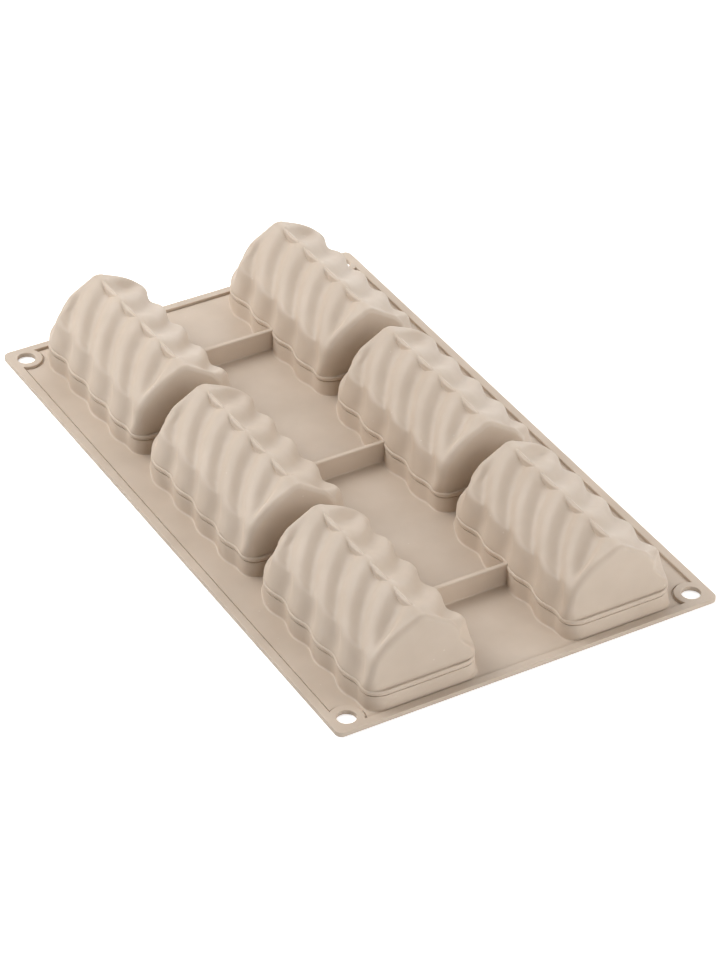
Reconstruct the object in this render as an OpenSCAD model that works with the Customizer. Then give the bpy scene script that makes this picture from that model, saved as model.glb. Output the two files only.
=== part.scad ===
// Silicone baking mould, lying cups up: six fluted log-shaped cups in two rows of three.
// Long side along X, short side along Y, up is +Z, origin at the middle of the underside.
// The mould is one casting. Its sections meet face to face and nothing moves.

/* [Sheet] */
// Length of the mould, edge to edge
sheet_l = 300; // [260:1:340]
// Width of the mould, edge to edge
sheet_w = 175; // [155:1:220]
// Thickness of the web between the cups
sheet_t = 1.2; // [0.9:0.1:2]
// Radius of the four outer corners
corner_r = 3; // [1:0.5:5]

/* [Rim] */
// Width of the raised border
rim_w = 3.8; // [3:0.1:5]
// Height of the border above the web
rim_step = 1.0; // [0.5:0.1:2]

/* [Corner eyelets] */
// Diameter of the corner holes
eyelet_hole_d = 8; // [5:0.1:10]
// Radius of the pad round each hole
eyelet_pad_r = 7.1; // [6.5:0.1:8.5]
// Distance of each hole's centre from both edges
eyelet_inset = 8; // [7:0.1:9]

/* [Cup layout] */
// Web showing between the border and the ends of the rows
end_margin = 0.8; // [0.4:0.1:6]
// Web showing between the border and the long sides of the rows
side_margin = 11.9; // [8:0.1:20]
// Web showing between two cups of a row
cup_gap = 3.8; // [2:0.1:10]
// Web showing between the two rows
row_gap = 36.4; // [20:0.1:50]

/* [Collar] */
// Height of the collar above the web
collar_h = 9.1; // [6:0.1:14]
// Corner radius of the collar in plan
collar_corner_r = 10; // [6:0.5:12]
// How far the collar wall leans in between its foot and the bead
collar_lean = 0.9; // [0:0.1:2]
// How far the bead round the ledge stands out of the collar wall
bead_out = 0.45; // [0.2:0.05:1]
// Height of the bead
bead_h = 2.0; // [1.2:0.1:3]

/* [Dome] */
// Width of the ledge between bead and dome on the long sides
ledge_side = 0.55; // [0.3:0.05:2]
// Width of the ledge between bead and dome at the ends
ledge_end = 1.7; // [0.5:0.1:4]
// How far the dome's side wall leans in up to the shoulder
dome_lean = 3.8; // [2:0.1:6]
// Height of the shoulder above the ledge
shoulder_h = 11.9; // [9:0.1:16]
// Height of the roof's ridge above the ledge, before the fins
roof_h = 25.0; // [21:0.1:32]
// Height of the fins' straight top above the roof's ridge
fin_h = 1.2; // [0.8:0.1:2]
// Rounding of the shoulder
shoulder_r = 5; // [3:0.5:6]
// Rounding of the ridge
ridge_r = 4; // [2:0.5:5]
// Rounding between the roof and an end face
end_edge_r = 2; // [1:0.5:4]
// Radius of the dome's upright corners at their foot, where they flare out
end_corner_r = 7; // [4:0.5:8]
// How far a flute cuts into the shoulder at the end it runs off
corner_cut = 3.4; // [0:0.1:4]
// How far the roof swells out beside its other end edge
end_swell = 1.9; // [0:0.1:3]
// Inward lean of an end face, per millimetre of height
end_draft = 0.11; // [0:0.01:0.2]

/* [Flutes] */
// Distance from one flute to the next along the cup
flute_pitch = 19.6; // [15:0.1:28]
// Depth of the flutes on the roof
flute_depth = 2.3; // [1:0.1:3]
// Depth of the scallops round the foot of the dome and the collar
scallop_depth = 1.9; // [1:0.1:2.4]
// Sideways run of a flute per millimetre across the roof, on average
roof_twist = 1.04; // [0.5:0.01:1.3]
// Share of that run at the ridge; the flutes bend more and more towards the shoulder
ridge_share = 0.29; // [0:0.01:1]
// Sideways run of a flute down the side wall
wall_run = 3.4; // [0:0.1:6]
// Sideways run of a scallop from the bead to the collar's foot
collar_twist = 2; // [0:0.1:4]
// Place of a flute's crest on the ridge, from the middle of the cup
crest_x = -0.4; // [-3:0.1:3]
// Sharpness of the valleys between flutes
valley_power = 2.4; // [2:0.1:4]

/* [Wall] */
// Wall thickness of the cups
wall = 1.8; // [1.4:0.1:2.2]

/* [Cross ribs] */
// Thickness of a cross rib
rib_t = 2.4; // [1.5:0.1:4]
// How far a rib's top stands above the ledge
rib_over = 0.4; // [0.2:0.1:1]
// Gap left between a rib's end and the dome's foot
rib_clear = 0.1; // [0.05:0.05:0.3]

/* [Hidden] */

silicone = [0.80, 0.73, 0.66];
round_fn = 64;
// Cuts run past the faces they open by this much
past = 1;

rim_t = sheet_t + rim_step;
columns = 3;
rows = 2;
// The cups share what the border, the margins and the gaps leave of the sheet
collar_l = (sheet_l - 2 * (rim_w + end_margin) - (columns - 1) * cup_gap) / columns;
collar_w = (sheet_w - 2 * (rim_w + side_margin) - (rows - 1) * row_gap) / rows;
cup_pitch = collar_l + cup_gap;
row_pitch = collar_w + row_gap;
ledge_z = sheet_t + collar_h;
hole_x = sheet_l / 2 - eyelet_inset;
hole_y = sheet_w / 2 - eyelet_inset;
// The pad's circle meets the rim's inner line this far from the hole, measured along the edge
pad_reach = sqrt(pow(eyelet_pad_r, 2) - pow(eyelet_inset - rim_w, 2));

// Dome section, from the collar it stands on
dome_hl = collar_l / 2 - collar_lean + bead_out - ledge_end;
dome_hw = collar_w / 2 - collar_lean + bead_out - ledge_side;
shoulder_y = dome_hw - dome_lean;
wall_a = atan2(shoulder_h, -dome_lean);
// The roof planes meet this high above the ledge before the ridge is rounded
plain_pitch = atan2(roof_h - shoulder_h, shoulder_y);
roof_top_h = roof_h + ridge_r * (1 / cos(plain_pitch) - 1);
roof_pitch = atan2(roof_top_h - shoulder_h, shoulder_y);
roof_a = 180 - roof_pitch;
shoulder_cut = shoulder_r * tan((roof_a - wall_a) / 2);
ridge_run = ridge_r * sin(roof_pitch);
fin_top = roof_h + fin_h;
// Fin flanks fall this many millimetres for each millimetre sideways
fin_slope = 1.9;
fin_half_w = 6;

// Sideways run of a flute from the ridge to the foot of the dome
foot_run = roof_twist * shoulder_y + wall_run;
// The upright corners flare below this height, as a share of the shoulder's
flare_share = 0.55;
// The cut at a shoulder's end reaches this far along the dome, and this far up the roof
cut_run = 9;
cut_rise = 7;
// It flares out to nothing below this height
cut_foot = 7;
// The swell beside the other end edge reaches this far along the dome
swell_run = 13;
// Flutes die away over this length towards the ends of the roof
roof_fade = 8;
// Level of the roof's end edges between valley, -1, and crest, +1
end_level = 0.85;

// Steps round the shapes
stations = 28;
outline_side_steps = 22;
outline_corner_steps = 4;
outline_end_steps = 2;

function clamp01(t) = min(1, max(0, t));
function smooth(t) = let (c = clamp01(t)) c * c * (3 - 2 * c);
function wave(turns) = 1 - 2 * pow(abs(sin(180 * turns)), valley_power);

// Flute level at the foot of the dome and round the collar, y tells the side
function foot_wave(x, y, run) = wave((x - crest_x + sign(y) * run) / flute_pitch);

// Half of the dome's plain section from the foot up: [y, height, normal y, normal z]
function on_line(y, h, a) = [y, h, sin(a), -cos(a)];
function shoulder_centre() =
  [shoulder_y - shoulder_cut * cos(wall_a) - shoulder_r * sin(wall_a),
   shoulder_h - shoulder_cut * sin(wall_a) + shoulder_r * cos(wall_a)];
function shoulder_point(a) = let (c = shoulder_centre())
  [c[0] + shoulder_r * sin(a), c[1] - shoulder_r * cos(a), sin(a), -cos(a)];
function roof_point(y) = on_line(y, roof_top_h - y * tan(roof_pitch), roof_a);
function ridge_point(a) =
  [ridge_r * sin(a), roof_h - ridge_r * (1 - cos(a)), sin(a), cos(a)];
roof_start_y = shoulder_y + shoulder_cut * cos(roof_a);
half_section = concat(
  [for (t = [0, 0.4]) let (h = t * (shoulder_h - shoulder_cut * sin(wall_a)))
    on_line(dome_hw + h / tan(wall_a), h, wall_a)],
  [for (t = [0, 0.5, 1]) shoulder_point(wall_a + t * (roof_a - wall_a))],
  [for (t = [0.3, 0.6, 0.85]) roof_point(roof_start_y + t * (ridge_run - roof_start_y))],
  [for (t = [1, 0.5, 0]) ridge_point(t * roof_pitch)]);
half_n = len(half_section);

// Whole section from the left foot over the ridge to the right foot
section = concat(
  [for (p = half_section) [-p[0], p[1], -p[2], p[3]]],
  [for (i = [half_n - 2:-1:0]) half_section[i]]);
section_n = len(section);

// 0 on the roof, 1 on the side wall
function wall_part(y) = clamp01((abs(y) - shoulder_y * 0.85) / (shoulder_y * 0.15));
// A flute leaves the ridge nearly square, bends along the roof and straightens again on the wall
function roof_run(y) = let (t = min(abs(y), shoulder_y) / shoulder_y)
  roof_twist * shoulder_y * t * (ridge_share + (1 - ridge_share) * t);
function flute_run(y, h) = -sign(y) * (roof_run(y)
  + wall_run * (1 - pow(1 - clamp01((shoulder_h - h) / shoulder_h), 3)) * wall_part(y));

// Rounding of an end's edge at this height
function edge_radius(h) = end_edge_r
  + (end_corner_r - end_edge_r) * pow(1 - clamp01(h / (flare_share * shoulder_h)), 2);

// The cut at a shoulder's end, deepest at the shoulder: y > 0 at the dome's right end
function shoulder_cut(x, y, h, half_l) =
  corner_cut * smooth((x * sign(y) - half_l + cut_run) / cut_run)
    * smooth(h < shoulder_h ? h / cut_foot : 1 - (h - shoulder_h) / cut_rise);

// The swell beside the other end edge, highest a little below the middle of the slope
function roof_swell(x, y, half_l) =
  end_swell * smooth((-x * sign(y) - half_l + swell_run) / swell_run)
    * sin(180 * pow(clamp01(abs(y) / shoulder_y), 1.3));

// A dome point: plain section p at station x, moved in or out by its flute, skin is 0 outside
function dome_point(p, x, half_l, skin) =
  let (side = wall_part(p[0]),
       edge_r = edge_radius(p[1]),
       into = max(0, abs(x) - half_l + edge_r),
       rounding = edge_r - sqrt(max(0, pow(edge_r, 2) - pow(into, 2))),
       level = wave((x - crest_x - flute_run(p[0], p[1])) / flute_pitch),
       fade = (1 - side) * smooth((abs(x) - half_l + roof_fade) / (roof_fade - end_edge_r)),
       depth = scallop_depth + (flute_depth - scallop_depth) * clamp01(p[1] / shoulder_h),
       move = depth / 2 * (level + fade * (end_level - level)) + roof_swell(x, p[0], half_l)
         - rounding - skin,
       y = p[0] + p[2] * move - sign(p[0]) * shoulder_cut(x, p[0], p[1], half_l),
       fin = fin_top - fin_slope * abs(y) - rounding - skin,
       h = p[1] <= 0 ? 0 : max(p[1] + p[3] * move, abs(y) < fin_half_w ? fin : 0))
  [x * (1 - end_draft * h / half_l), y, ledge_z + h];

// Faces of a skin of stations by section points that starts at point k, open underneath
function skin_faces(k) = let (n = section_n, last = k + stations * n) concat(
  [for (i = [0:stations - 1], j = [0:n - 2]) let (a = k + i * n + j, b = a + n)
    each [[a, a + 1, b + 1], [a, b + 1, b]]],
  [[for (j = [n - 1:-1:0]) k + j], [for (j = [0:n - 1]) last + j]]);

// Points round the open foot of such a skin, in order
function foot_loop(k) = concat([for (i = [0:stations]) k + i * section_n],
  [for (i = [stations:-1:0]) k + i * section_n + section_n - 1]);

function turned(face) = [for (i = [len(face) - 1:-1:0]) face[i]];

// Outer skin, cavity and the foot that joins them make one closed dome
module dome() {
  skins = [for (skin = [0, wall]) each let (half_l = dome_hl - skin)
    [for (i = [0:stations], p = section)
      dome_point(p, half_l * (2 * i / stations - 1), half_l, skin)]];
  inner = (stations + 1) * section_n;
  cavity = [for (face = skin_faces(inner)) turned(face)];
  rim_out = foot_loop(0);
  rim_in = foot_loop(inner);
  n = len(rim_out);
  foot = [for (i = [0:n - 1]) let (j = (i + 1) % n)
    each [[rim_out[i], rim_out[j], rim_in[j]], [rim_out[i], rim_in[j], rim_in[i]]]];
  color(silicone) polyhedron(skins, concat(skin_faces(0), cavity, foot), convexity = 6);
}

// Outline of a collar at one height: a rounded rectangle whose long sides are scalloped
function collar_outline(half_l, half_w, r, run) =
  let (side = [for (i = [0:outline_side_steps]) (half_l - r) * (1 - 2 * i / outline_side_steps)],
       arc = [for (i = [1:outline_corner_steps]) 90 * i / (outline_corner_steps + 1)],
       end = [for (i = [0:outline_end_steps]) (half_w - r) * (2 * i / outline_end_steps - 1)],
       front = [for (i = [len(side) - 1:-1:0]) [side[i], -half_w]],
       back = [for (x = side) [x, half_w]],
       right = concat(
         [for (a = arc) [half_l - r + r * sin(a), -half_w + r - r * cos(a)]],
         [for (y = end) [half_l, y]],
         [for (a = arc) [half_l - r + r * cos(a), half_w - r + r * sin(a)]]),
       left = concat(
         [for (a = arc) [-half_l + r - r * sin(a), half_w - r + r * cos(a)]],
         [for (i = [len(end) - 1:-1:0]) [-half_l, end[i]]],
         [for (a = arc) [-half_l + r - r * cos(a), -half_w + r - r * sin(a)]]))
  [for (p = concat(front, right, back, left))
    [p[0], p[1] + sign(p[1]) * scallop_depth / 2 * foot_wave(p[0], p[1], run)]];

// Collar outline drawn in by this much, at a share t of the way from the foot to the bead
function collar_ring(inset, t) = collar_outline(collar_l / 2 - inset, collar_w / 2 - inset,
  max(1, collar_corner_r - inset), foot_run + (1 - t) * collar_twist);

bead_low = ledge_z - bead_h;
// The bead swells out, and its top edge rounds off, within this height
bead_round = 0.4;
bead_inset = collar_lean - bead_out;

// Outer face of a collar from the foot up: [height, inset, share of the way to the bead]
collar_steps = [
  [0, 0, 0],
  [sheet_t, 0, 0],
  [bead_low, collar_lean, 1],
  [bead_low + bead_round, bead_inset, 1],
  [ledge_z - bead_round, bead_inset, 1],
  [ledge_z, bead_inset + bead_round / 2, 1]];

// A collar is a closed ring of outlines: up the outside, across the ledge and down the inside
module collar() {
  hole = collar_outline(dome_hl - wall, dome_hw - wall, end_corner_r, foot_run);
  rings = concat([for (s = collar_steps) [s[0], collar_ring(s[1], s[2])]], [
    [ledge_z, hole],
    [ledge_z - wall, hole],
    [ledge_z - wall, collar_ring(collar_lean + wall, 1)],
    [0, collar_ring(wall, 0)]]);
  n = len(hole);
  m = len(rings);
  points = [for (r = rings, p = r[1]) [p[0], p[1], r[0]]];
  faces = [for (k = [0:m - 1], j = [0:n - 1])
    let (next_k = (k + 1) % m, next_j = (j + 1) % n, a = k * n + j, b = k * n + next_j)
      each [[a, next_k * n + next_j, b], [a, next_k * n + j, next_k * n + next_j]]];
  color(silicone) polyhedron(points, faces, convexity = 6);
}

// Cup places: column -1, 0 or 1 along X and row -1 at the front, 1 at the back
module at_cup(column, row) {
  translate([column * cup_pitch, row * row_pitch / 2, 0]) children();
}

module sheet_plan() {
  translate([-sheet_l / 2 + corner_r, -sheet_w / 2 + corner_r])
    square([sheet_l - 2 * corner_r, sheet_w - 2 * corner_r]);
  translate([-sheet_l / 2, -sheet_w / 2 + corner_r]) square([sheet_l, sheet_w - 2 * corner_r]);
  translate([-sheet_l / 2 + corner_r, -sheet_w / 2]) square([sheet_l - 2 * corner_r, sheet_w]);
  for (sx = [-1, 1], sy = [-1, 1])
    translate([sx * (sheet_l / 2 - corner_r), sy * (sheet_w / 2 - corner_r)])
      circle(corner_r, $fn = round_fn);
}

// Everything inside the rim's inner line
module inner_plan() {
  square([sheet_l - 2 * rim_w, sheet_w - 2 * rim_w], center = true);
}

// Corner pad in plan: a disc round the hole and the corner of the border behind it
module pad_plan(sx, sy) {
  translate([sx * hole_x, sy * hole_y]) circle(eyelet_pad_r, $fn = round_fn);
  intersection() {
    sheet_plan();
    union() {
      translate([sx > 0 ? hole_x - pad_reach : -sheet_l / 2, sy > 0 ? hole_y : -sheet_w / 2])
        square([eyelet_inset + pad_reach, eyelet_inset]);
      translate([sx > 0 ? hole_x : -sheet_l / 2, sy > 0 ? hole_y - pad_reach : -sheet_w / 2])
        square([eyelet_inset, eyelet_inset + pad_reach]);
    }
  }
}

module web_sheet() {
  color(silicone) linear_extrude(sheet_t) difference() {
    inner_plan();
    for (sx = [-1, 1], sy = [-1, 1]) pad_plan(sx, sy);
    for (column = [-1, 0, 1], row = [-1, 1])
      at_cup(column, row) polygon(collar_ring(0, 0));
  }
}

// One side of the raised border, between two corner pads
module rim_long(sy) {
  length = 2 * (hole_x - pad_reach);
  color(silicone)
    translate([-length / 2, sy > 0 ? sheet_w / 2 - rim_w : -sheet_w / 2, 0])
      cube([length, rim_w, rim_t]);
}

module rim_short(sx) {
  length = 2 * (hole_y - pad_reach);
  color(silicone)
    translate([sx > 0 ? sheet_l / 2 - rim_w : -sheet_l / 2, -length / 2, 0])
      cube([rim_w, length, rim_t]);
}

module eyelet(sx, sy) {
  color(silicone) difference() {
    linear_extrude(rim_t) pad_plan(sx, sy);
    translate([sx * hole_x, sy * hole_y, -past])
      cylinder(h = rim_t + 2 * past, d = eyelet_hole_d, $fn = round_fn);
  }
}

// Half width of a collar at place x on its straight side, on the side that y = 1 or -1 tells
function side_at(x, step, y) = let (
    half_l = collar_l / 2 - step[1],
    pitch = 2 * (half_l - max(1, collar_corner_r - step[1])) / outline_side_steps,
    near = floor(x / pitch),
    run = foot_run + (1 - step[2]) * collar_twist,
    w = [for (i = [near, near + 1]) foot_wave(i * pitch, y, run)],
    t = x / pitch - near)
  collar_w / 2 - step[1] + scallop_depth / 2 * (w[0] + t * (w[1] - w[0]));

rib_cuts = [-rib_t / 2, 0, rib_t / 2];
// Half width of a dome's foot, where it stands furthest out beside a rib
function foot_at_rib(y) = dome_hw
  + scallop_depth / 2 * max([for (x = rib_cuts) foot_wave(x, y, foot_run)]) + rib_clear;

// End of a rib at place x: it follows the collar's face, then laps the ledge to the dome
function rib_end(x, y) = concat(
  [for (i = [1:len(collar_steps) - 1]) [side_at(x, collar_steps[i], y), collar_steps[i][0]]],
  [[foot_at_rib(y), ledge_z], [foot_at_rib(y), ledge_z + rib_over]]);

// A rib runs from the front row's collars to the back row's
module cross_rib() {
  loops = [for (x = rib_cuts) let (front = rib_end(x, 1), back = rib_end(x, -1), m = len(front)) concat(
    [for (p = front) [x, p[0] - row_pitch / 2, p[1]]],
    [for (i = [m - 1:-1:0]) [x, row_pitch / 2 - back[i][0], back[i][1]]])];
  n = len(loops[0]);
  sides = [for (k = [0, 1], j = [0:n - 1]) let (a = k * n + j, b = k * n + (j + 1) % n)
    each [[a, b, b + n], [a, b + n, a + n]]];
  ends = [[for (j = [n - 1:-1:0]) j], [for (j = [0:n - 1]) 2 * n + j]];
  color(silicone) polyhedron([for (l = loops) each l], concat(sides, ends), convexity = 6);
}

module at_column(column) {
  translate([column * cup_pitch, 0, 0]) children();
}

web_sheet();
rim_long(-1);  // rim_front
rim_long(1);  // rim_back
rim_short(-1);  // rim_left
rim_short(1);  // rim_right
eyelet(-1, -1);  // eyelet_front_left
eyelet(1, -1);  // eyelet_front_right
eyelet(-1, 1);  // eyelet_back_left
eyelet(1, 1);  // eyelet_back_right
at_cup(-1, -1) collar();  // collar_front_left
at_cup(0, -1) collar();  // collar_front_middle
at_cup(1, -1) collar();  // collar_front_right
at_cup(-1, 1) collar();  // collar_back_left
at_cup(0, 1) collar();  // collar_back_middle
at_cup(1, 1) collar();  // collar_back_right
at_cup(-1, -1) dome();  // dome_front_left
at_cup(0, -1) dome();  // dome_front_middle
at_cup(1, -1) dome();  // dome_front_right
at_cup(-1, 1) dome();  // dome_back_left
at_cup(0, 1) dome();  // dome_back_middle
at_cup(1, 1) dome();  // dome_back_right
at_column(-1) cross_rib();  // cross_rib_left
at_column(0) cross_rib();  // cross_rib_middle
at_column(1) cross_rib();  // cross_rib_right
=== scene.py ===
import math

import bmesh
import bpy
from mathutils import Matrix, Vector


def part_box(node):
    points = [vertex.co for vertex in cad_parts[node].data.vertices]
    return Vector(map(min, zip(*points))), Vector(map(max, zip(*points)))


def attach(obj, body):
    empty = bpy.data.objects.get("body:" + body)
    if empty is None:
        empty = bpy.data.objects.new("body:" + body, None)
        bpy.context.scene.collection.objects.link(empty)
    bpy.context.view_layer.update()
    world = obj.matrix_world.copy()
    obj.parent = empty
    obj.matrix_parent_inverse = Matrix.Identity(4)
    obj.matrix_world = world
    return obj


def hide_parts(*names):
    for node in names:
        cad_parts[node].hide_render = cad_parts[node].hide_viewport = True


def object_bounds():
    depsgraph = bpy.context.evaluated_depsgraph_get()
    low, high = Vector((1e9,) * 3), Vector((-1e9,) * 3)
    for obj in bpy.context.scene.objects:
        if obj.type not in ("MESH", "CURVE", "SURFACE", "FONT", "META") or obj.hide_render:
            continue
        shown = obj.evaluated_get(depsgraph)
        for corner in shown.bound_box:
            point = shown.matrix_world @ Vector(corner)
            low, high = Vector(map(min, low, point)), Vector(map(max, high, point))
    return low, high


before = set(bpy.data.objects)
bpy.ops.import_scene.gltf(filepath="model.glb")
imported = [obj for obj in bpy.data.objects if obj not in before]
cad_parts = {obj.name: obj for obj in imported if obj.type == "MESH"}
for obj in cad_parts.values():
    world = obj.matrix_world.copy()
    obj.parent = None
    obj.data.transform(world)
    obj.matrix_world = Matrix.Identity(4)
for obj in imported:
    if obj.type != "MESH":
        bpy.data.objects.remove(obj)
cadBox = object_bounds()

mm = 0.001  # sizes below are in millimetres, Blender's are in metres
touching = 1e-4  # points nearer than this are one point
weldReach = 1e-3
sharpAngle = math.radians(50)  # steeper folds than this stay sharp
scene = bpy.context.scene
print("frame loaded with", len(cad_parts), "nodes")


def nodeBox(name):
    low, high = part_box(name)
    return low / mm, high / mm


def mix(a, b, share):
    return a + (b - a) * share


def clamp01(value):
    return min(1.0, max(0.0, value))


def smooth(value):
    share = clamp01(value)
    return share * share * (3 - 2 * share)


def quarterTurns(steps):
    # the turns of a rounding, from none to a quarter of a circle
    return [math.pi / 2 * i / steps for i in range(steps + 1)]


def towards(azimuth, elevation):
    # the way to a lamp or the camera: azimuth 0 is in front of the object and grows towards +X
    turn, rise = math.radians(azimuth), math.radians(elevation)
    return Vector((math.sin(turn) * math.cos(rise), -math.cos(turn) * math.cos(rise), math.sin(rise)))


# levels that the frame settles
rimLow, rimHigh = nodeBox("rim_front")
domeLow, domeHigh = nodeBox("dome_front_middle")
webTop = nodeBox("web_sheet")[1].z
rimTop = rimHigh.z
rimWidth = rimHigh.y - rimLow.y
ledgeLevel = domeLow.z
sheetHalf = Vector((cadBox[1].x, cadBox[1].y)) / mm


silicone = {
    "colour": (0.594, 0.492, 0.398),
    "darker": (0.548, 0.449, 0.358),
    "roughness": (0.46, 0.54),  # on light and on dark clouds
    "mottleSize": 45.0,  # the four sizes of the pattern are in cycles per metre
    "mottleDetail": 3,
    "mottleRoughness": 0.55,
    "mottleRange": (0.32, 0.68),
    "grainSize": 900.0,
    "grainDetail": 2,
    "unevenSize": 130.0,
    "unevenShare": 2.0,
    "speckSize": 210.0,
    "speckEdge": (0.05, 0.09),
    "speckRarity": 0.86,
    "speckColour": (0.78, 0.72, 0.65),
    "speckStrength": 0.35,
    "grainHeight": 0.00002,
    "grainStrength": 0.6,
    "ior": 1.42,
    "lightInside": 0.12,  # the share of light that goes into the body
    "lightDepth": 0.0012,
    "lightColours": (1.0, 0.72, 0.5),
}


def newSocket(group, name, kind, direction):
    group.interface.new_socket(name=name, in_out=direction, socket_type=kind)


def setRange(node, side, limits):
    node.inputs[side + " Min"].default_value = limits[0]
    node.inputs[side + " Max"].default_value = limits[1]


def newMath(nodes, operation, value=None):
    node = nodes.new("ShaderNodeMath")
    node.operation = operation
    if value is not None:
        node.inputs[1].default_value = value
    return node


def buildMottleGroup():
    # soft clouds of a slightly darker shade, and where they are, for the roughness too
    group = bpy.data.node_groups.new("softMottle", "ShaderNodeTree")
    newSocket(group, "Vector", "NodeSocketVector", "INPUT")
    newSocket(group, "Light Shade", "NodeSocketColor", "INPUT")
    newSocket(group, "Dark Shade", "NodeSocketColor", "INPUT")
    newSocket(group, "Scale", "NodeSocketFloat", "INPUT")
    newSocket(group, "Color", "NodeSocketColor", "OUTPUT")
    newSocket(group, "Mask", "NodeSocketFloat", "OUTPUT")
    nodes, links = group.nodes, group.links
    start = nodes.new("NodeGroupInput")
    end = nodes.new("NodeGroupOutput")
    noise = nodes.new("ShaderNodeTexNoise")
    noise.inputs["Detail"].default_value = silicone["mottleDetail"]
    noise.inputs["Roughness"].default_value = silicone["mottleRoughness"]
    spread = nodes.new("ShaderNodeMapRange")
    setRange(spread, "From", silicone["mottleRange"])
    shade = nodes.new("ShaderNodeMix")
    shade.data_type = "RGBA"
    links.new(start.outputs["Vector"], noise.inputs["Vector"])
    links.new(start.outputs["Scale"], noise.inputs["Scale"])
    links.new(noise.outputs["Fac"], spread.inputs["Value"])
    links.new(spread.outputs["Result"], shade.inputs["Factor"])
    links.new(start.outputs["Light Shade"], shade.inputs["A"])
    links.new(start.outputs["Dark Shade"], shade.inputs["B"])
    links.new(shade.outputs["Result"], end.inputs["Color"])
    links.new(spread.outputs["Result"], end.inputs["Mask"])
    return group


def buildGrainGroup():
    # the fine tooth of a moulded face, as a height, and rare specks of dust, as a mask
    group = bpy.data.node_groups.new("mouldedGrain", "ShaderNodeTree")
    newSocket(group, "Vector", "NodeSocketVector", "INPUT")
    newSocket(group, "Grain Scale", "NodeSocketFloat", "INPUT")
    newSocket(group, "Height", "NodeSocketFloat", "OUTPUT")
    newSocket(group, "Specks", "NodeSocketFloat", "OUTPUT")
    nodes, links = group.nodes, group.links
    start = nodes.new("NodeGroupInput")
    end = nodes.new("NodeGroupOutput")
    fine = nodes.new("ShaderNodeTexNoise")
    fine.inputs["Detail"].default_value = silicone["grainDetail"]
    broad = nodes.new("ShaderNodeTexNoise")
    broad.inputs["Scale"].default_value = silicone["unevenSize"]
    broad.inputs["Detail"].default_value = silicone["grainDetail"]
    broadShare = newMath(nodes, "MULTIPLY", silicone["unevenShare"])
    together = newMath(nodes, "ADD")
    dots = nodes.new("ShaderNodeTexVoronoi")
    dots.inputs["Scale"].default_value = silicone["speckSize"]
    dots.inputs["Randomness"].default_value = 1
    dotSize = nodes.new("ShaderNodeMapRange")
    setRange(dotSize, "From", silicone["speckEdge"])
    setRange(dotSize, "To", (1, 0))
    chosen = nodes.new("ShaderNodeSeparateColor")
    rare = newMath(nodes, "GREATER_THAN", silicone["speckRarity"])
    speck = newMath(nodes, "MULTIPLY")
    links.new(start.outputs["Vector"], fine.inputs["Vector"])
    links.new(start.outputs["Grain Scale"], fine.inputs["Scale"])
    links.new(start.outputs["Vector"], broad.inputs["Vector"])
    links.new(start.outputs["Vector"], dots.inputs["Vector"])
    links.new(broad.outputs["Fac"], broadShare.inputs[0])
    links.new(fine.outputs["Fac"], together.inputs[0])
    links.new(broadShare.outputs["Value"], together.inputs[1])
    links.new(together.outputs["Value"], end.inputs["Height"])
    links.new(dots.outputs["Distance"], dotSize.inputs["Value"])
    links.new(dots.outputs["Color"], chosen.inputs["Color"])
    links.new(chosen.outputs["Red"], rare.inputs[0])
    links.new(dotSize.outputs["Result"], speck.inputs[0])
    links.new(rare.outputs["Value"], speck.inputs[1])
    links.new(speck.outputs["Value"], end.inputs["Specks"])
    return group


def buildSilicone(name, settings):
    material = bpy.data.materials.new(name)
    material.use_nodes = True
    nodes, links = material.node_tree.nodes, material.node_tree.links
    shader = nodes["Principled BSDF"]
    shader.inputs["IOR"].default_value = settings["ior"]
    shader.inputs["Subsurface Weight"].default_value = settings["lightInside"]
    shader.inputs["Subsurface Radius"].default_value = settings["lightColours"]
    shader.inputs["Subsurface Scale"].default_value = settings["lightDepth"]
    place = nodes.new("ShaderNodeTexCoord")
    mottle = nodes.new("ShaderNodeGroup")
    mottle.node_tree = bpy.data.node_groups["softMottle"]
    mottle.inputs["Light Shade"].default_value = (*settings["colour"], 1)
    mottle.inputs["Dark Shade"].default_value = (*settings["darker"], 1)
    mottle.inputs["Scale"].default_value = settings["mottleSize"]
    grain = nodes.new("ShaderNodeGroup")
    grain.node_tree = bpy.data.node_groups["mouldedGrain"]
    grain.inputs["Grain Scale"].default_value = settings["grainSize"]
    dust = nodes.new("ShaderNodeMix")
    dust.data_type = "RGBA"
    dust.inputs["B"].default_value = (*settings["speckColour"], 1)
    dustShare = newMath(nodes, "MULTIPLY", settings["speckStrength"])
    rough = nodes.new("ShaderNodeMapRange")
    setRange(rough, "To", settings["roughness"])
    bump = nodes.new("ShaderNodeBump")
    bump.inputs["Strength"].default_value = settings["grainStrength"]
    bump.inputs["Distance"].default_value = settings["grainHeight"]
    links.new(place.outputs["Object"], mottle.inputs["Vector"])
    links.new(place.outputs["Object"], grain.inputs["Vector"])
    links.new(mottle.outputs["Color"], dust.inputs["A"])
    links.new(grain.outputs["Specks"], dustShare.inputs[0])
    links.new(dustShare.outputs["Value"], dust.inputs["Factor"])
    links.new(dust.outputs["Result"], shader.inputs["Base Color"])
    links.new(mottle.outputs["Mask"], rough.inputs["Value"])
    links.new(rough.outputs["Result"], shader.inputs["Roughness"])
    links.new(grain.outputs["Height"], bump.inputs["Height"])
    links.new(bump.outputs["Normal"], shader.inputs["Normal"])
    return material


buildMottleGroup()
buildGrainGroup()
taupe = buildSilicone("taupeSilicone", silicone)
print("silicone ready")


def addPiece(mesh, name, *nodes):
    # every piece is part of the one casting: the same finish, the same body, its place in its mesh
    piece = bpy.data.objects.new(name, mesh)
    scene.collection.objects.link(piece)
    mesh.materials.clear()
    mesh.materials.append(taupe)
    mesh.shade_smooth()
    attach(piece, "root")
    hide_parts(*nodes)
    return piece


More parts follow.
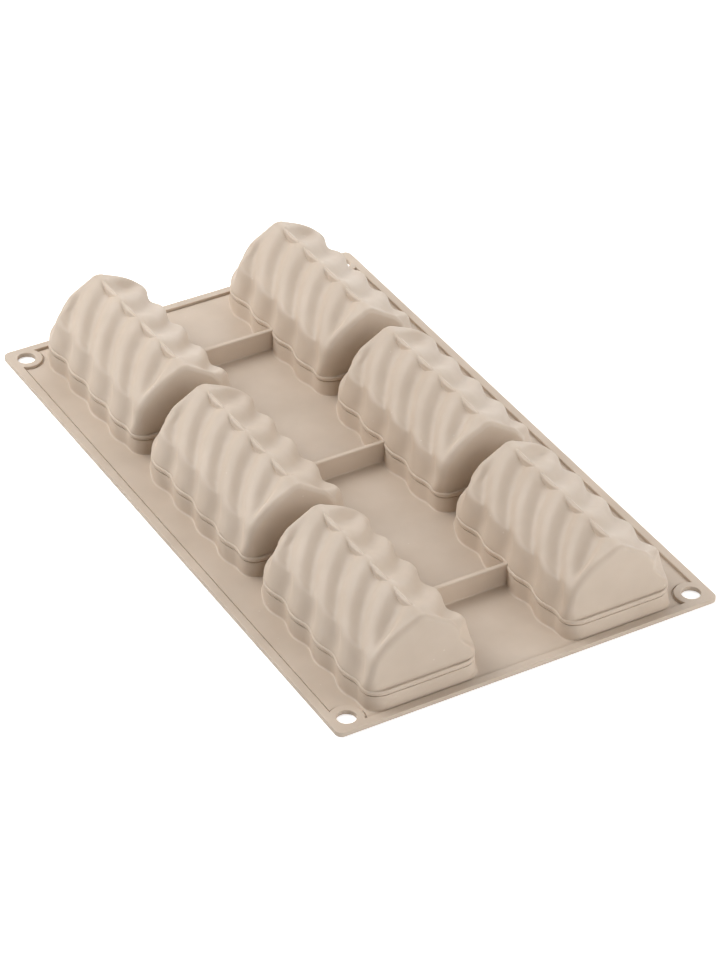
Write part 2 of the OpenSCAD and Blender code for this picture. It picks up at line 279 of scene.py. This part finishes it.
def meshFrom(bm, name):
    mesh = bpy.data.meshes.new(name)
    bm.to_mesh(mesh)
    bm.free()
    mesh.shade_smooth()
    mesh.set_sharp_from_angle(angle=sharpAngle)
    return mesh


flute = {
    "pitch": 19.6,
    "roofDepth": 2.3,
    "footDepth": 1.9,
    "roofTwist": 1.04,
    "ridgeShare": 0.29,  # flutes leave the ridge nearly square and bend more towards the shoulder
    "wallRun": 3.4,
    "collarTwist": 2.0,
    "crest": -0.4,
    "valleyPower": 2.4,
    "wallPower": 3,  # flutes straighten out again down the wall
}


def wave(turns):
    return 1 - 2 * abs(math.sin(math.pi * turns)) ** flute["valleyPower"]


def footWave(x, y, run):
    return wave((x - flute["crest"] + math.copysign(run, y)) / flute["pitch"])


dome = {
    "halfLength": (domeHigh.x - domeLow.x) / 2,
    "halfWidth": 25.8,
    "shoulderIn": 3.8,
    "shoulderHeight": 11.9,
    "roofHeight": 25.0,
    "finTop": 26.2,
    "finWidth": 1.1,  # half of a fin's width at its middle
    "finSlope": 0.7,
    "finEdge": 0.35,  # a fin's side falls to the valley within this
    "finShare": 0.84,  # a fin's length, as a share of a flute's pitch
    "finTips": 3.0,  # how steeply a fin comes up at its pointed ends
    "finReach": 4.5,
    "shoulderRadius": 5.0,
    "ridgeRadius": 4.0,
    "edgeRadius": 1.9,  # a dome's end edges, on the two corners where the flutes run out low
    "softEdgeRadius": 3.2,  # and on the two where they run out high
    "softEdgeRun": 16.0,
    "cornerRadius": 7.0,  # the upright corners flare out to this at the foot
    "flareHeight": 6.5,
    "cornerCut": 4.5,  # how far a flute cuts into the shoulder at the end it runs off
    "cutRun": 9.0,
    "cutRise": 7.0,
    "cutFoot": 10.5,
    "endSwell": 1.9,  # the roof swells out beside its other end edge
    "swellRun": 13.0,
    "swellPower": 1.3,  # above 1, the swell is highest below the middle of the slope
    "wallDip": 0.25,  # valleys are deeper half way up the wall
    "finGroove": 0.6,  # the dip along a fin's foot
    "grooveWidth": 0.9,
    "ledgeGroove": 0.35,  # the dip between a dome's foot and the bead
    "endDraft": 0.11,
    "roofFade": 8.0,
    "endLevel": 0.85,
    "wallStart": 0.85,  # the roof turns into the wall from here on, as a share of the shoulder
    "wall": 1.8,
    "footFillet": 0.3,
    "filletSteps": 5,
    "filletSink": 0.03,
    "footSink": 0.9,  # how far the wall goes on down into the collar
    "roofCrowding": 0.7,  # rows crowd together towards the ridge, and on it towards the fins' tops
    "ridgeCrowding": 1.25,
}
shoulderOut = dome["halfWidth"] - dome["shoulderIn"]
footRun = flute["roofTwist"] * shoulderOut + flute["wallRun"]


def domeSection(steps, start):
    # the plain section from foot to foot: out, height and the normal's two parts
    wallAngle = math.atan2(dome["shoulderHeight"], -dome["shoulderIn"])
    plainPitch = math.atan2(dome["roofHeight"] - dome["shoulderHeight"], shoulderOut)
    roofTop = dome["roofHeight"] + dome["ridgeRadius"] * (1 / math.cos(plainPitch) - 1)
    roofPitch = math.atan2(roofTop - dome["shoulderHeight"], shoulderOut)
    roofAngle = math.pi - roofPitch
    radius = dome["shoulderRadius"]
    cut = radius * math.tan((roofAngle - wallAngle) / 2)
    centreOut = shoulderOut - cut * math.cos(wallAngle) - radius * math.sin(wallAngle)
    centreUp = dome["shoulderHeight"] - cut * math.sin(wallAngle) + radius * math.cos(wallAngle)
    wallTop = dome["shoulderHeight"] - cut * math.sin(wallAngle)
    roofStart = shoulderOut + cut * math.cos(roofAngle)
    ridgeRun = dome["ridgeRadius"] * math.sin(roofPitch)
    line = []
    for i in range(steps["wall"]):
        height = mix(start, wallTop, i / steps["wall"])
        out = dome["halfWidth"] + height / math.tan(wallAngle)
        line.append((out, height, math.sin(wallAngle), -math.cos(wallAngle)))
    for i in range(steps["shoulder"]):
        turn = mix(wallAngle, roofAngle, i / steps["shoulder"])
        out = centreOut + radius * math.sin(turn)
        line.append((out, centreUp - radius * math.cos(turn), math.sin(turn), -math.cos(turn)))
    for i in range(steps["roof"]):
        out = mix(roofStart, ridgeRun, (i / steps["roof"]) ** dome["roofCrowding"])
        height = roofTop - out * math.tan(roofPitch)
        line.append((out, height, math.sin(roofAngle), -math.cos(roofAngle)))
    for i in range(steps["ridge"] + 1):
        turn = roofPitch * (1 - i / steps["ridge"]) ** dome["ridgeCrowding"]
        out = dome["ridgeRadius"] * math.sin(turn)
        height = dome["roofHeight"] - dome["ridgeRadius"] * (1 - math.cos(turn))
        line.append((out, height, math.sin(turn), math.cos(turn)))
    left = [(-out, height, -across, up) for out, height, across, up in line]
    return left + line[-2::-1]


def alongPlaces(steps):
    # places along a dome: which end, share of the straight, turn round the end's edge,
    # and the share that is left of the end face's width
    half = [(i / steps["straight"], 0.0, 1.0) for i in range(steps["straight"])]
    half += [(1.0, turn, 1.0) for turn in quarterTurns(steps["edge"])[:-1]]
    half += [(1.0, math.pi / 2, 1 - i / steps["face"]) for i in range(steps["face"] + 1)]
    left = [(-1, *place) for place in half[::-1]]
    return left + [(1, *place) for place in half[1:]]


def wallPart(out):
    # 0 on the roof, 1 on the wall
    start = shoulderOut * dome["wallStart"]
    return clamp01((abs(out) - start) / (shoulderOut - start))


def fluteRun(out, height):
    # how far a flute has run sideways from the ridge down to this place
    share = min(abs(out), shoulderOut) / shoulderOut
    roofRun = flute["roofTwist"] * shoulderOut * share * mix(flute["ridgeShare"], 1, share)
    drop = clamp01((dome["shoulderHeight"] - height) / dome["shoulderHeight"])
    wallRun = flute["wallRun"] * (1 - (1 - drop) ** flute["wallPower"])
    return roofRun + wallRun * wallPart(out)


def nearEnd(x, out, halfLength, run):
    # 1 at the end that x and out point to together, 0 farther from it than this run
    return smooth((x * math.copysign(1.0, out) - halfLength + run) / run)


def edgeRadiusAt(end, out, height):
    softness = smooth(-end * out / dome["softEdgeRun"])
    flare = clamp01(1 - height / dome["flareHeight"]) ** 2
    return mix(mix(dome["edgeRadius"], dome["softEdgeRadius"], softness),
               dome["cornerRadius"], flare)


def shoulderCut(x, out, height, halfLength):
    # full at the shoulder, and gone at the foot
    above = (height - dome["shoulderHeight"]) / dome["cutRise"]
    share = smooth(height / dome["cutFoot"]) if above < 0 else smooth(1 - above)
    return dome["cornerCut"] * nearEnd(x, out, halfLength, dome["cutRun"]) * share


def roofSwell(x, out, halfLength):
    # full on the slope, and gone at the ridge and the shoulder
    share = math.sin(math.pi * clamp01(abs(out) / shoulderOut) ** dome["swellPower"])
    return dome["endSwell"] * nearEnd(-x, out, halfLength, dome["swellRun"]) * share


def finLens(x):
    # a fin stands in each valley on the ridge: 1 at its middle, 0 at its pointed ends
    place = 2 * (((x - flute["crest"]) / flute["pitch"]) % 1.0) - 1
    return max(0.0, 1 - (place / dome["finShare"]) ** 2)


def domePoint(place, row, skin):
    # a point of a dome: its place along, its row on the section, and how deep under the outside
    end, straight, turn, face = place
    out, height, across, up = row
    halfLength = dome["halfLength"] - skin
    side = wallPart(out)
    radius = edgeRadiusAt(end, out, height)
    x = (halfLength - radius) * straight + radius * math.sin(turn)
    rounding = radius * (1 - math.cos(turn))
    run = math.copysign(fluteRun(out, height), out)
    level = wave((end * x - flute["crest"] + run) / flute["pitch"])
    up01 = clamp01(height / dome["shoulderHeight"])
    # the flutes calm down on the roof towards an end, and on the wall too where they run out high
    calm = 1 - side * (1 - smooth(-end * out / shoulderOut) * up01 ** 2)
    fade = calm * smooth(
        (x - halfLength + dome["roofFade"]) / (dome["roofFade"] - dome["edgeRadius"]))
    depth = mix(flute["footDepth"], flute["roofDepth"], up01)
    move = depth / 2 * mix(level, dome["endLevel"], fade) - skin
    move -= dome["wallDip"] * math.sin(math.pi * up01) * clamp01(-level)
    move += roofSwell(end * x, out, halfLength)
    # the roof's end edges round off square to the roof, the upright corners in plan
    y = out + across * move - mix(across, math.copysign(1.0, out), side) * rounding
    y -= math.copysign(shoulderCut(end * x, out, height, halfLength), out)
    if height <= 0:
        z = 0.0
    else:
        z = max(0.0, height + up * move - up * (1 - side) * rounding)
        lens = finLens(end * x) * (1 - fade)
        if lens > 0 and abs(y) < dome["finReach"]:
            halfFin = dome["finWidth"] * lens
            beside = max(0.0, abs(y) - halfFin) / dome["grooveWidth"]
            z -= dome["finGroove"] * lens * math.exp(-beside * beside)
            top = dome["finTop"] - dome["finSlope"] * abs(y) - rounding - skin
            inside = 1 - smooth((abs(y) - halfFin) / dome["finEdge"])
            z = mix(z, max(z, top), inside * min(1.0, dome["finTips"] * lens))
    y *= face
    z = mix(min(z, dome["footFillet"]), z, face)
    x *= 1 - dome["endDraft"] * z / halfLength
    return Vector((end * x, y, ledgeLevel + z))


steps = {
    "outside": {"wall": 10, "shoulder": 9, "roof": 28, "ridge": 20,
                "straight": 96, "edge": 8, "face": 12},
    "inside": {"wall": 4, "shoulder": 5, "roof": 10, "ridge": 8,
               "straight": 48, "edge": 4, "face": 6},
}


def footPoint(place, skin, level):
    # a point of a dome's foot line: which end, which side, share along, turn, share across the end
    end, side, straight, turn, face = place
    across = math.atan2(dome["shoulderHeight"], -dome["shoulderIn"])
    row = (side * dome["halfWidth"], 0.0, side * math.sin(across), -math.cos(across))
    point = domePoint((end, straight, turn, 1.0), row, skin)
    return Vector((point.x, point.y * face, level))


def filletEnd(place):
    # where the rounding at a dome's foot runs out on the ledge
    level = ledgeLevel - dome["ledgeGroove"]
    foot = footPoint(place, 0, level)
    ledge = collarPoint(place, ledgeInset, 1.0, level) - foot
    return foot + ledge.normalized() * min(dome["footFillet"], ledge.length / 2)


def addDomeSkin(bm, steps, start, skin):
    rows = domeSection(steps, start)
    places = alongPlaces(steps)
    station = bm.verts.layers.int["station"]
    grid = bmesh.ops.create_grid(
        bm, x_segments=len(places) - 1, y_segments=len(rows) - 1, size=1)["verts"]
    for vert in grid:
        i = round((vert.co.x + 1) / 2 * (len(places) - 1))
        j = round((vert.co.y + 1) / 2 * (len(rows) - 1))
        vert[station] = i if j < len(rows) / 2 else -i
        vert.co = domePoint(places[i], rows[j], skin)
    for end in (places[0], places[-1]):
        pole = domePoint(end, rows[0], skin)
        bmesh.ops.remove_doubles(
            bm, verts=[vert for vert in grid if vert.is_valid and (vert.co - pole).length < touching],
            dist=weldReach)
    return [vert for vert in grid if vert.is_valid]


def footEdges(bm, verts):
    skin = set(verts)
    return [edge for edge in bm.edges if edge.is_boundary and edge.verts[0] in skin]


def nextRing(bm, edges, place):
    # a new ring from these edges on, each vertex put where place says
    made = bmesh.ops.extrude_edge_only(bm, edges=edges)["geom"]
    for item in made:
        if isinstance(item, bmesh.types.BMVert):
            item.co = place(item)
    return [item for item in made if isinstance(item, bmesh.types.BMEdge) and item.is_boundary]


def buildDome():
    bm = bmesh.new()
    station = bm.verts.layers.int.new("station")
    places = alongPlaces(steps["outside"])
    outside = addDomeSkin(bm, steps["outside"], dome["footFillet"], 0)
    edges = footEdges(bm, outside)
    foot = {}
    for vert in {vert for edge in edges for vert in edge.verts}:
        end, straight, turn, face = places[abs(vert[station])]
        side = -1 if vert[station] > 0 or vert.co.y < 0 else 1
        foot[vert[station]] = (vert.co.copy(), filletEnd((end, side, straight, turn, face)))

    def filletPoint(turn, sink):
        def place(vert):
            wall, ledge = foot[vert[station]]
            point = wall.lerp(ledge, 1 - math.cos(turn))
            point.z = mix(ledge.z, wall.z, 1 - math.sin(turn)) - sink
            return point
        return place

    *turns, last = quarterTurns(dome["filletSteps"])
    for turn in turns[1:]:
        edges = nextRing(bm, edges, filletPoint(turn, 0))
    edges = nextRing(bm, edges, filletPoint(last, dome["filletSink"]))
    outerFoot = nextRing(bm, edges, filletPoint(last, dome["footSink"]))
    inside = addDomeSkin(bm, steps["inside"], 0, dome["wall"])
    skin = set(inside)
    cavity = [face for face in bm.faces if face.verts[0] in skin]
    bmesh.ops.reverse_faces(bm, faces=cavity)
    innerFoot = nextRing(bm, footEdges(bm, inside),
                         lambda vert: vert.co - Vector((0, 0, dome["footSink"])))
    bmesh.ops.bridge_loops(bm, edges=outerFoot + innerFoot)
    bm.verts.layers.int.remove(bm.verts.layers.int["station"])
    bmesh.ops.recalc_face_normals(bm, faces=bm.faces)
    bmesh.ops.scale(bm, vec=(mm, mm, mm), verts=bm.verts)
    return meshFrom(bm, "dome")


collar = {
    "halfLength": 47.2,
    "halfWidth": 26.8,
    "cornerRadius": 10.0,
    "lean": 0.9,
    "beadOut": 0.3,
    "beadHeight": 2.0,
    "beadRadius": 0.75,
    "beadLowRadius": 0.3,
    "roundSteps": 4,
    "creaseDepth": 0.8,  # the slit under the bead
    "creaseHeight": 0.5,
    "creaseSlant": 0.05,
    "wall": 1.8,
    "wallSteps": 5,
    "footFillet": 0.6,
    "endFillet": 0.15,
    "leastRadius": 1.0,
    "seatIn": 0.5,  # the ledge dips under the dome's wall, from here on in
    "seatDrops": (0.3, 0.45),
    "seatLap": 0.15,
    "mouthGap": 0.05,
    "sink": 0.5,  # how far the collar goes down into the web
}
ledgeInset = collar["lean"] - collar["beadOut"] + collar["beadRadius"]


def collarPlaces():
    # places round a collar: which end, which side, share along the side, turn, share across the end
    places = alongPlaces(steps["outside"])
    front = [(end, -1, straight, turn, face) for end, straight, turn, face in places]
    back = [(end, 1, straight, turn, face) for end, straight, turn, face in places]
    return front + back[-2:0:-1]


def collarPoint(place, inset, share, level):
    # a point of the collar's face: inset from the foot line, share of the way from foot to bead
    end, side, along, turn, across = place
    halfLength = collar["halfLength"] - inset
    halfWidth = collar["halfWidth"] - inset
    radius = max(collar["leastRadius"], collar["cornerRadius"] - inset)
    x = end * ((halfLength - radius) * along + radius * math.sin(turn))
    run = footRun + (1 - share) * flute["collarTwist"]
    scallop = flute["footDepth"] / 2 * footWave(x, side, run)
    y = side * across * (halfWidth - radius + radius * math.cos(turn) + scallop)
    return Vector((x, y, level))


def footRing(turn, sink):
    # the rounding from the web up into the collar's wall, narrow at the ends where the border is near
    wallHeight = ledgeLevel - collar["beadHeight"] - webTop

    def place(spot):
        fillet = mix(collar["footFillet"], collar["endFillet"], math.sin(spot[3]))
        rise = fillet * (1 - math.cos(turn))
        inset = collar["lean"] * rise / wallHeight - fillet * (1 - math.sin(turn))
        return collarPoint(spot, inset, rise / wallHeight, webTop + rise - sink)
    return place


def faceRing(inset, share, level):
    return lambda spot: collarPoint(spot, inset, share, level)


def collarRings():
    # rings up the outside from within the web, over the ledge, and down the inside
    lean, wall = collar["lean"], collar["wall"]
    beadLow = ledgeLevel - collar["beadHeight"]
    beadInset = lean - collar["beadOut"]
    low, high = collar["beadLowRadius"], collar["beadRadius"]
    grooveLevel = ledgeLevel - dome["ledgeGroove"]
    outerSeat, innerSeat = (grooveLevel - drop for drop in collar["seatDrops"])
    turns = quarterTurns(collar["roundSteps"])
    rings = [footRing(0, collar["sink"])]
    rings += [footRing(turn, 0) for turn in turns]
    for i in range(1, collar["wallSteps"]):
        share = i / collar["wallSteps"]
        rings.append(faceRing(lean * share, share, mix(webTop, beadLow, share)))
    crease = lean + collar["creaseDepth"]
    creaseLow = beadLow - collar["creaseHeight"]
    rings += [faceRing(lean, 1.0, creaseLow),
              faceRing(crease, 1.0, creaseLow + collar["creaseSlant"]),
              faceRing(crease, 1.0, beadLow)]
    rings += [faceRing(beadInset + low * (1 - math.sin(turn)), 1.0,
                       beadLow + low * (1 - math.cos(turn))) for turn in turns]
    rings += [faceRing(beadInset + high * (1 - math.cos(turn)), 1.0,
                       ledgeLevel - high * (1 - math.sin(turn))) for turn in turns]
    rings += [
        lambda spot: filletEnd(spot).lerp(footPoint(spot, 0, grooveLevel), collar["seatLap"]),
        lambda spot: footPoint(spot, collar["seatIn"], outerSeat),
        lambda spot: footPoint(spot, dome["wall"], innerSeat),
        lambda spot: footPoint(spot, dome["wall"], ledgeLevel - wall),
        faceRing(lean + wall, 1.0, ledgeLevel - wall),
        faceRing(wall + collar["mouthGap"], 0.0, webTop - collar["sink"]),
    ]
    return rings


def buildCollar():
    places = collarPlaces()
    rings = collarRings()
    bm = bmesh.new()
    station = bm.verts.layers.int.new("station")
    loop = bmesh.ops.create_circle(bm, segments=len(places), radius=1)["verts"]
    for i, vert in enumerate(loop):
        vert[station] = i
        vert.co = rings[0](places[i])
    first = edges = list(bm.edges)
    for ring in rings[1:]:
        edges = nextRing(bm, edges, lambda vert, ring=ring: ring(places[vert[station]]))
    bmesh.ops.bridge_loops(bm, edges=first + edges)
    bm.verts.layers.int.remove(bm.verts.layers.int["station"])
    bmesh.ops.recalc_face_normals(bm, faces=bm.faces)
    bmesh.ops.scale(bm, vec=(mm, mm, mm), verts=bm.verts)
    return meshFrom(bm, "collar")


domeMesh = buildDome()
collarMesh = buildCollar()
for row in ("front", "back"):
    for column in ("left", "middle", "right"):
        low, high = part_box(f"dome_{row}_{column}")
        spot = Matrix.Translation(((low.x + high.x) / 2, (low.y + high.y) / 2, 0))
        for mesh, word in ((domeMesh, "dome"), (collarMesh, "collar")):
            copy = mesh.copy()
            copy.transform(spot)
            addPiece(copy, word + row.title() + column.title(), f"{word}_{row}_{column}")
print("six domes and collars ready")


border = {
    "outerRadius": 3.0,
    "holeRadius": 4.0,
    "padRadius": 7.1,
    "holeInset": 8.0,
    "edgeRadius": 0.3,
    "lap": 1.0,  # how far the web runs on into the border
    "grooveWidth": 0.8,  # the narrow groove in the web along the border
    "grooveDepth": 0.5,
    "mouthInset": 1.8,
    "mouthEdge": 0.2,
    "bevelSteps": 2,
    "outerSteps": 10,
    "padSteps": 30,
    "holeSteps": 64,
}


def addOutline(curve, points):
    spline = curve.splines.new("POLY")
    spline.points.add(len(points) - 1)
    for point, (x, y) in zip(spline.points, points):
        point.co = (x, y, 0, 1)
    spline.use_cyclic_u = True


def arc(centreX, centreY, radius, start, stop, steps):
    turns = [math.radians(mix(start, stop, i / steps)) for i in range(steps + 1)]
    return [(centreX + radius * math.cos(turn), centreY + radius * math.sin(turn)) for turn in turns]


def slabFrom(outlines, name, low, high, edge):
    # a flat slab with these outlines, the first outside and the others holes, and rounded edges
    curve = bpy.data.curves.new(name, "CURVE")
    curve.dimensions = "2D"
    curve.fill_mode = "BOTH"
    curve.extrude = (high - low) / 2 - edge
    curve.bevel_depth = edge
    curve.bevel_resolution = border["bevelSteps"]
    curve.offset = -edge
    for outline in outlines:
        addOutline(curve, outline)
    holder = bpy.data.objects.new(name, curve)
    scene.collection.objects.link(holder)
    bpy.context.view_layer.update()
    mesh = bpy.data.meshes.new_from_object(
        holder.evaluated_get(bpy.context.evaluated_depsgraph_get()))
    bpy.data.objects.remove(holder)
    bm = bmesh.new()
    bm.from_mesh(mesh)
    bpy.data.meshes.remove(mesh)
    bmesh.ops.remove_doubles(bm, verts=bm.verts, dist=touching)
    bmesh.ops.recalc_face_normals(bm, faces=bm.faces)
    bmesh.ops.translate(bm, vec=(0, 0, (low + high) / 2), verts=bm.verts)
    bmesh.ops.scale(bm, vec=(mm, mm, mm), verts=bm.verts)
    return meshFrom(bm, name)


def evenNormals(piece):
    # keeps the shading of big flat faces flat beside their rounded edges
    weighted = piece.modifiers.new("evenNormals", "WEIGHTED_NORMAL")
    weighted.keep_sharp = True


def rimInnerLine(under):
    # the border's inner line: straight along the rims, and round the pads at the corners
    x, y = sheetHalf.x - border["holeInset"], sheetHalf.y - border["holeInset"]
    radius = border["padRadius"] - under
    reach = math.degrees(math.asin((border["holeInset"] - rimWidth + under) / radius))
    line = []
    for endX, endY, middle in ((1, 1, 225), (-1, 1, 315), (-1, -1, 45), (1, -1, 135)):
        pad = arc(endX * x, endY * y, radius, middle - 45 - reach, middle + 45 + reach,
                  border["padSteps"])
        line += pad[::-1]
    return line


def buildBorder():
    x, y = sheetHalf.x - border["outerRadius"], sheetHalf.y - border["outerRadius"]
    outer = []
    for endX, endY, start in ((1, 1, 0), (-1, 1, 90), (-1, -1, 180), (1, -1, 270)):
        outer += arc(endX * x, endY * y, border["outerRadius"], start, start + 90,
                     border["outerSteps"])
    holeX, holeY = sheetHalf.x - border["holeInset"], sheetHalf.y - border["holeInset"]
    holes = [arc(endX * holeX, endY * holeY, border["holeRadius"], 0, 360, border["holeSteps"])[:-1]
             for endX in (-1, 1) for endY in (-1, 1)]
    return slabFrom([outer, rimInnerLine(0), *holes], "border", 0, rimTop, border["edgeRadius"])


def buildWeb():
    mouths = []
    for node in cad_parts:
        if node.startswith("dome_"):
            low, high = nodeBox(node)
            middle = (low + high) / 2
            points = [collarPoint(place, border["mouthInset"], 0.0, 0) for place in collarPlaces()]
            mouths.append([(point.x + middle.x, point.y + middle.y) for point in points])
    groove = slabFrom([rimInnerLine(border["lap"]), rimInnerLine(-2 * border["grooveWidth"])],
                      "webGroove", 0, webTop - border["grooveDepth"], border["mouthEdge"])
    web = slabFrom([rimInnerLine(-border["grooveWidth"]), *mouths],
                   "web", 0, webTop, border["mouthEdge"])
    bm = bmesh.new()
    for slab in (web, groove):
        bm.from_mesh(slab)
    bpy.data.meshes.remove(groove)
    bpy.data.meshes.remove(web)
    return meshFrom(bm, "web")


borderPiece = addPiece(
    buildBorder(), "border", "rim_front", "rim_back", "rim_left", "rim_right",
    "eyelet_front_left", "eyelet_front_right", "eyelet_back_left", "eyelet_back_right")
webPiece = addPiece(buildWeb(), "web", "web_sheet")
evenNormals(borderPiece)
evenNormals(webPiece)
print("web and border ready")


rib = {
    "thickness": 2.4,
    "draft": 0.12,
    "topRadius": 0.6,
    "topSteps": 5,
    "footFillet": 0.6,
    "footSteps": 4,
    "footSink": 0.4,
    "top": 10.7,
    "frontEnd": 24.9,  # distance from the middle of the front row to the rib's end
    "backEnd": 25.1,
}


def buildRib(node):
    low, high = nodeBox(node)
    front = nodeBox("dome_front_middle")
    back = nodeBox("dome_back_middle")
    startY = (front[0].y + front[1].y) / 2 + rib["frontEnd"]
    endY = (back[0].y + back[1].y) / 2 - rib["backEnd"]
    half = rib["thickness"] / 2
    side = [(half + rib["footFillet"], webTop - rib["footSink"])]
    side += [(half + rib["footFillet"] * (1 - math.sin(turn)),
              webTop + rib["footFillet"] * (1 - math.cos(turn)))
             for turn in quarterTurns(rib["footSteps"])]
    side += [(half - rib["draft"] - rib["topRadius"] * (1 - math.cos(turn)),
              rib["top"] - rib["topRadius"] * (1 - math.sin(turn)))
             for turn in quarterTurns(rib["topSteps"])]
    outline = side + [(-x, z) for x, z in side[::-1]]
    middle = (low.x + high.x) / 2
    bm = bmesh.new()
    for y in (startY, endY):
        cap = bmesh.ops.create_circle(bm, cap_ends=True, segments=len(outline), radius=1)["verts"]
        for vert, (x, z) in zip(cap, outline):
            vert.co = (middle + x, y, z)
    bmesh.ops.bridge_loops(bm, edges=list(bm.edges))
    bmesh.ops.recalc_face_normals(bm, faces=bm.faces)
    bmesh.ops.scale(bm, vec=(mm, mm, mm), verts=bm.verts)
    return meshFrom(bm, node)


for column in ("left", "middle", "right"):
    node = f"cross_rib_{column}"
    evenNormals(addPiece(buildRib(node), "crossRib" + column.title(), node))
print("cross ribs ready")


studio = {
    "floorReach": 6.0,  # in metres, as all sizes of the studio
    "floorSteps": 8,
    "floorDrop": 0.0002,
    "floorColour": (0.93, 0.93, 0.93),
    "floorRoughness": 0.9,
    "floorShine": 0.2,
    "floorGlow": 0.6,
    "worldStrength": 0.0,
    "boxDistance": 1.4,
    "boxWidth": 1.3,
    "boxHeight": 0.9,
}
# softboxes: where they stand round the object, how high in degrees, and their power
softboxes = {
    "keyLight": (315, 50, 16.2),
    "lowKeyLight": (314, 20, 5.4),
    "endLight": (95, 20, 7.4),
    "highEndLight": (100, 50, 1.2),
    "rightLight": (138, 20, 8.2),
    "backLight": (225, 20, 5.2),
    "highBackLight": (225, 50, 3.4),
}


def buildFloor():
    bm = bmesh.new()
    bmesh.ops.create_grid(bm, x_segments=studio["floorSteps"], y_segments=studio["floorSteps"],
                          size=studio["floorReach"])
    bmesh.ops.translate(bm, vec=(0, 0, -studio["floorDrop"]), verts=bm.verts)
    floor = bpy.data.objects.new("floor", meshFrom(bm, "floor"))
    scene.collection.objects.link(floor)
    material = bpy.data.materials.new("whiteGround")
    material.use_nodes = True
    nodes, links = material.node_tree.nodes, material.node_tree.links
    shader = nodes["Principled BSDF"]
    shader.inputs["Base Color"].default_value = (*studio["floorColour"], 1)
    shader.inputs["Roughness"].default_value = studio["floorRoughness"]
    shader.inputs["Specular IOR Level"].default_value = studio["floorShine"]
    # what the camera sees glows up to white, and the shadow stays
    glow = nodes.new("ShaderNodeEmission")
    path = nodes.new("ShaderNodeLightPath")
    seen = newMath(nodes, "MULTIPLY", studio["floorGlow"])
    both = nodes.new("ShaderNodeAddShader")
    links.new(path.outputs["Is Camera Ray"], seen.inputs[0])
    links.new(seen.outputs["Value"], glow.inputs["Strength"])
    links.new(shader.outputs["BSDF"], both.inputs[0])
    links.new(glow.outputs["Emission"], both.inputs[1])
    links.new(both.outputs["Shader"], nodes["Material Output"].inputs["Surface"])
    floor.data.materials.append(material)


def buildWorld():
    # white for the camera and in reflections, and no light from it on the object
    world = bpy.data.worlds.new("studioWorld")
    scene.world = world
    world.use_nodes = True
    nodes, links = world.node_tree.nodes, world.node_tree.links
    ambient = nodes["Background"]
    ambient.inputs["Color"].default_value = (1, 1, 1, 1)
    ambient.inputs["Strength"].default_value = studio["worldStrength"]
    white = nodes.new("ShaderNodeBackground")
    white.inputs["Color"].default_value = (1, 1, 1, 1)
    white.inputs["Strength"].default_value = 1.0
    path = nodes.new("ShaderNodeLightPath")
    glossy = newMath(nodes, "MAXIMUM")
    either = newMath(nodes, "MAXIMUM")
    choose = nodes.new("ShaderNodeMixShader")
    links.new(path.outputs["Is Camera Ray"], glossy.inputs[0])
    links.new(path.outputs["Is Glossy Ray"], glossy.inputs[1])
    links.new(glossy.outputs["Value"], either.inputs[0])
    links.new(path.outputs["Is Transmission Ray"], either.inputs[1])
    links.new(either.outputs["Value"], choose.inputs["Fac"])
    links.new(ambient.outputs["Background"], choose.inputs[1])
    links.new(white.outputs["Background"], choose.inputs[2])
    links.new(choose.outputs["Shader"], nodes["World Output"].inputs["Surface"])


def addSoftbox(name, azimuth, elevation, power):
    away = towards(azimuth, elevation)
    light = bpy.data.lights.new(name, "AREA")
    light.shape = "RECTANGLE"
    light.size = studio["boxWidth"]
    light.size_y = studio["boxHeight"]
    light.energy = power
    lamp = bpy.data.objects.new(name, light)
    scene.collection.objects.link(lamp)
    lamp.location = away * studio["boxDistance"]
    lamp.rotation_euler = away.to_track_quat("Z", "Y").to_euler()


# the camera, solved from the four corners of the sheet in the photograph
view = {
    "azimuth": 59.96,
    "elevation": 35.63,
    "roll": 0.374,
    "distance": 1496.6,
    "target": (6.957, 3.885, 0.0),
    "focalPixels": 3568.3,
    "imageHeight": 960,
    "sensor": 36,
    "nearest": 0.05,
    "farthest": 50,
}


def buildCamera():
    back = towards(view["azimuth"], view["elevation"])
    right = (-back).cross(Vector((0, 0, 1))).normalized()
    up = right.cross(-back)
    roll = math.radians(view["roll"])
    rightTurned = right * math.cos(roll) + up * math.sin(roll)
    upTurned = -right * math.sin(roll) + up * math.cos(roll)
    data = bpy.data.cameras.new("camera")
    data.sensor_width = view["sensor"]
    data.lens = view["focalPixels"] * view["sensor"] / view["imageHeight"]
    data.clip_start = view["nearest"]
    data.clip_end = view["farthest"]
    camera = bpy.data.objects.new("camera", data)
    scene.collection.objects.link(camera)
    turned = Matrix((rightTurned, upTurned, back)).transposed().to_4x4()
    spot = (Vector(view["target"]) + back * view["distance"]) * mm
    camera.matrix_world = Matrix.Translation(spot) @ turned
    scene.camera = camera


buildFloor()
buildWorld()
for name, (azimuth, elevation, power) in softboxes.items():
    addSoftbox(name, azimuth, elevation, power)
buildCamera()
scene.view_settings.view_transform = "Standard"
print("studio ready")
